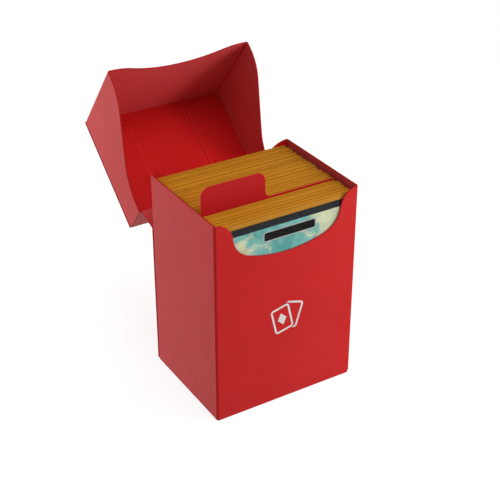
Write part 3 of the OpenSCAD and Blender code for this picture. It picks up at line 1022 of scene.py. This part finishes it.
def add_sleeve(bm, x0, surface, top, width):
    """Adds one double sleeve: films sealed along the sides and foot, and in the outer one's mouth
    the closed end of the inner one, which was put on upside down."""
    half = width / 2
    inside = half - SEAM_W
    body_half = SLEEVE_T / 2
    round_card = inside - SEAM_RISE
    outer_x = [-half, -inside, -round_card, -half / 2, 0, half / 2, round_card, inside, half]
    outer_h = [FILM_T, FILM_T, *[body_half] * 5, FILM_T, FILM_T]
    levels = [CARD_FLOOR, CARD_FLOOR + SEAM_W, top - NECK_H, top]

    def row(xs, hs, z, sign):
        return [bm.verts.new((x0 + x, surface(x0 + x, z) + sign * h, z)) for x, h in zip(xs, hs)]

    def strip(low, high, index=0):
        for i in range(len(low) - 1):
            bm.faces.new((low[i], low[i + 1], high[i + 1], high[i])).material_index = index

    outer = {}
    for sign in (-1, 1):
        rows = []
        for k, z in enumerate(levels):
            hs = outer_h if k else [FILM_T] * len(outer_x)
            rows.append(row(outer_x, hs, z, sign))
        for low, high in zip(rows, rows[1:]):
            strip(low, high, 1)
        outer[sign] = rows
    for end in (0, -1):
        for k in range(len(levels) - 1):
            a, b = outer[-1], outer[1]
            edge = bm.faces.new((a[k][end], b[k][end], b[k + 1][end], a[k + 1][end]))
            edge.material_index = 1
    strip(outer[-1][0], outer[1][0])

    mouth_x = outer_x[1:-1]
    mouth_h = [body_half - FILM_T] * 5
    ends = [
        [bm.verts.new((x0 + x, surface(x0 + x, z), z)) for x in (mouth_x[0], mouth_x[-1])]
        for z in (top - MOUTH_DEPTH, top)]
    floors = []
    for sign in (-1, 1):
        low, high = [
            [left, *row(mouth_x[1:-1], mouth_h, z, sign), right]
            for (left, right), z in zip(ends, (top - MOUTH_DEPTH, top))]
        strip(low, high)
        strip(high, outer[sign][-1][1:-1])
        floors.append(low)
    bm.faces.new([*floors[0], *reversed(floors[1][1:-1])])
    a, b = outer[-1][-1], outer[1][-1]
    bm.faces.new((a[0], a[1], ends[1][0], b[1], b[0]))
    bm.faces.new((a[-1], a[-2], ends[1][1], b[-2], b[-1]))


def add_card(bm, x0, surface, foot):
    """Adds one card with rounded corners inside its sleeve."""
    outline = rounded_rectangle((x0, foot + CARD_H / 2), (CARD_W, CARD_H), CARD_CORNER_R, step=15)
    rings = [
        [bm.verts.new((x, surface(x, z) + half * CARD_T, z)) for x, z in outline]
        for half in (-0.5, 0.5)]
    bm.faces.new(rings[0])
    bm.faces.new(rings[1])
    add_band(bm, *rings, smooth=False)


def make_deck(name, node, count, rng):
    """A deck of sleeved cards in the space of its CAD solids: the sleeves and the cards in them."""
    lo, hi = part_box(node)
    deck = packs(count, rng)
    places = lean_places([room for _, _, room in deck], hi.y - lo.y, rng)
    sleeves, cards = bmesh.new(), bmesh.new()
    for (aside, sunk, _), corners in zip(deck, places):
        x0 = aside * CARD_STRAY
        surface = leaning(corners, lo.y, x0)
        top = SLEEVE_TOP - sunk * TOP_STRAY
        add_sleeve(sleeves, x0, surface, top, SLEEVE_W - WIDTH_STRAY * rng.random())
        add_card(cards, x0, surface, CARD_FLOOR + CARD_FOOT + FOOT_STRAY * rng.random())
    for face in sleeves.faces:
        face.smooth = True
    body = name + "_deck"
    # the films' outer faces take the darker gold, painted shade for the gaps between sleeves
    finish_piece(f"{name}_sleeves", sleeves, (GOLD_FILM, GOLD_FACE_PAINTED_SHADE), node, body)
    finish_piece(f"{name}_cards", cards, (CORE,), node, body)


def add_faces_between(bm, outer, inner, index):
    """Fills a flat ring between two loops of vertices."""
    verts = [*outer, *inner]
    for triangle in tessellate_polygon([[v.co for v in outer], [v.co for v in inner]]):
        bm.faces.new([verts[i] for i in triangle]).material_index = index


def make_face_card():
    """The card that shows in the scoop: a charcoal border, a painted sky and an empty nameplate,
    printed on the front of one solid card."""
    lo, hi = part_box("face_card")
    middle = ((lo.x + hi.x) / 2, (lo.z + hi.z) / 2)
    size = (hi.x - lo.x, hi.z - lo.z)
    plate_middle = (PLATE_LO + PLATE_HI) / 2
    plate_size = PLATE_HI - PLATE_LO

    def inset(outer, width):
        return (outer[0] - 2 * width, outer[1] - 2 * width)

    paths = [
        rounded_rectangle(middle, size, CARD_CORNER_R),
        rounded_rectangle(middle, inset(size, PICTURE_BORDER), PICTURE_R),
        rounded_rectangle(plate_middle, plate_size, PLATE_R),
        rounded_rectangle(plate_middle, inset(plate_size, PLATE_LINE_W), PLATE_INNER_R)]
    bm = bmesh.new()
    loops = [[bm.verts.new((x, lo.y, z)) for x, z in path] for path in paths]
    for index, (outer, inner) in enumerate(zip(loops, loops[1:])):
        add_faces_between(bm, outer, inner, index)
    bm.faces.new(loops[-1]).material_index = 3
    back = [bm.verts.new((x, hi.y, z)) for x, z in paths[0]]
    bm.faces.new(back).material_index = 4
    add_band(bm, loops[0], back, smooth=False)
    finish_piece(
        "face_card_print", bm, (BORDER, PICTURE, PLATE_LINE, PLATE_BLACK, CORE), "face_card",
        "front_deck")


def make_face_sleeve():
    """The face card's sleeve: a gold film behind the card and a clear one before it."""
    lo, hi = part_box("face_sleeve_back")
    outline = rectangle(lo, hi, 0, 2)
    # the back film's face takes the sleeve faces' darker gold, painted shade
    make_plate(
        "face_sleeve_back_film", "face_sleeve_back", "front_deck", (GOLD_FACE_PAINTED_SHADE, GOLD_FILM),
        [outline], in_xz(lo.y), thickness=hi.y - lo.y, rim=BACK_FILM_RIM_R)
    front_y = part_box("face_sleeve_window")[0].y
    make_plate(
        "face_sleeve_clear_film", "face_sleeve_window", "front_deck", (CLEAR, CLEAR), [outline],
        in_xz(front_y), thickness=FILM_T, rim=CLEAR_FILM_RIM_R)


# ---------- stage ----------

FLOOR_GLOW = 0.76          # the sweep is lit from below, as in a light tent
FLOOR_REACH = 5.0          # metres, then the sweep curves up all round
FLOOR_CURVE_R = 1.0
FLOOR_WALL_H = 1.8
FLOOR_GREY = (0.34, 0.34, 0.34)
FLOOR_GREY_PALE = (0.36, 0.36, 0.36)
WORLD_STRENGTH = 0.346
KEY_POWER = 0.492          # watts, as for the other softboxes
TOP_POWER = 28.9
REAR_POWER = 1.40
RIGHT_POWER = 0.428
VIEW_AZIMUTH = -31.4       # degrees
VIEW_ELEVATION = 30.24
VIEW_DISTANCE = 503.8 * MM
VIEW_TARGET = Vector((-1.37, 0.18, 62.45)) * MM
VIEW_LENS = 82.72          # millimetres
SENSOR_W = 36              # millimetres
NEAREST = 10 * MM          # what is closer to the camera isn't drawn


def from_angles(azimuth, elevation):
    """The way to a point at those angles. Azimuth 0 is the front; seen from above, it grows
    anticlockwise."""
    a, e = math.radians(azimuth), math.radians(elevation)
    return Vector((math.sin(a) * math.cos(e), -math.cos(a) * math.cos(e), math.sin(e)))


def make_camera():
    data = bpy.data.cameras.new("camera")
    data.lens = VIEW_LENS
    data.sensor_width = SENSOR_W
    data.clip_start = NEAREST
    camera = bpy.data.objects.new("camera", data)
    bpy.context.scene.collection.objects.link(camera)
    back = from_angles(VIEW_AZIMUTH, VIEW_ELEVATION)
    camera.location = VIEW_TARGET + back * VIEW_DISTANCE
    camera.rotation_mode = "QUATERNION"
    camera.rotation_quaternion = (-back).to_track_quat("-Z", "Y")
    bpy.context.scene.camera = camera


def add_softbox(name, azimuth, elevation, distance, size, power):
    """Adds a soft light that aims at the object and shows neither itself nor its reflection."""
    data = bpy.data.lights.new(name, "AREA")
    data.shape = "RECTANGLE"
    data.size, data.size_y = size
    data.energy = power
    light = bpy.data.objects.new(name, data)
    bpy.context.scene.collection.objects.link(light)
    back = from_angles(azimuth, elevation)
    light.location = VIEW_TARGET + back * distance
    light.rotation_mode = "QUATERNION"
    light.rotation_quaternion = (-back).to_track_quat("-Z", "Y")
    light.visible_glossy = False
    light.visible_camera = False


def make_floor():
    """A plain pale floor that curves up into a wall all round."""
    s = Shader("studio_floor")
    grain = s.noise(30, detail=2)
    base = s.mix(s.remap(grain, 0.3, 0.7), FLOOR_GREY, FLOOR_GREY_PALE)
    material = s.surface(base, 0.9, **{
        "Emission Color": (1, 1, 1, 1), "Emission Strength": FLOOR_GLOW})
    bm = bmesh.new()
    rise = arc((FLOOR_REACH, FLOOR_CURVE_R), FLOOR_CURVE_R, 270, 360, step=10)
    rings = []
    for r, z in [*rise, (FLOOR_REACH + FLOOR_CURVE_R, FLOOR_WALL_H)]:
        rings.append([bm.verts.new((x, y, z)) for x, y in circle((0, 0), r, step=5)])
    bm.faces.new(rings[0])
    for low, high in zip(rings, rings[1:]):
        add_band(bm, low, high)
    mesh = bpy.data.meshes.new("studio_floor")
    bm.to_mesh(mesh)
    bm.free()
    mesh.materials.append(material)
    floor = bpy.data.objects.new("studio_floor", mesh)
    bpy.context.scene.collection.objects.link(floor)
    floor.visible_diffuse = False


def make_light():
    world = bpy.data.worlds.new("studio")
    world.use_nodes = True
    background = world.node_tree.nodes["Background"]
    background.inputs["Color"].default_value = (1, 1, 1, 1)
    background.inputs["Strength"].default_value = WORLD_STRENGTH
    bpy.context.scene.world = world
    world.cycles_visibility.glossy = False
    add_softbox(
        "key_softbox", azimuth=44, elevation=17, distance=0.6, size=(0.12, 0.2), power=KEY_POWER)
    add_softbox(
        "top_softbox", azimuth=20, elevation=70, distance=2.6, size=(1.8, 1.8), power=TOP_POWER)
    add_softbox(
        "rear_softbox", azimuth=-150, elevation=10, distance=0.5, size=(0.25, 0.25), power=REAR_POWER)
    add_softbox(
        "right_softbox", azimuth=60, elevation=5, distance=0.25, size=(0.2, 0.2), power=RIGHT_POWER)
    bpy.context.scene.view_settings.view_transform = "Standard"


# ---------- everything ----------

make_front_panel()
make_side_panels()
make_rear_flaps()
make_cross_panel(
    "back_sheet", "back_panel", "box", back_lo, back_hi,
    holes=[circle(centre, WELD_R) for centre in back_weld_centres()])
make_back_welds()
make_cross_panel("bottom_sheet", "bottom_panel", "box", bottom_lo, bottom_hi)
make_welded_flaps(
    "{}_bottom_flap", "box", floor_flap_lo, floor_flap_hi,
    [circle(centre, WELD_R) for centre in bottom_weld_centres()], SHEET)
make_bottom_welds()
make_box_folds()
make_emblem()

make_crease(
    "lower_crease_web", "lower_crease", LOWER_CREASE_Z, LINK_OPEN, AT_REST)
make_cross_panel(
    "hinge_link_sheet", "hinge_link_panel", "hinge_link", link_lo, link_hi, materials=LINK_SHEET)
make_crease(
    "upper_crease_web", "upper_crease", UPPER_CREASE_Z, LID_OPEN, LINK_POSE)

make_cross_panel("lid_strip_sheet", "lid_back_strip", "lid", strip_lo, strip_hi)
make_cross_panel("lid_roof_sheet", "lid_roof_panel", "lid", roof_lo, roof_hi)
make_lid_front()
make_lid_sides()
make_welded_flaps(
    "lid_{}_flap", "lid", roof_flap_lo, roof_flap_hi,
    [circle(centre, ROOF_WELD_R) for centre in roof_weld_centres()], FLAP_SHEET)
make_lid_welds()
make_lid_folds()

make_divider()
deck_rng = random.Random(DECK_SEED)
make_deck("rear", "rear_sleeved_cards", REAR_CARDS, deck_rng)
make_deck("front", "front_sleeved_cards", FRONT_CARDS - 1, deck_rng)
make_face_card()
make_face_sleeve()

make_floor()
make_light()
make_camera()
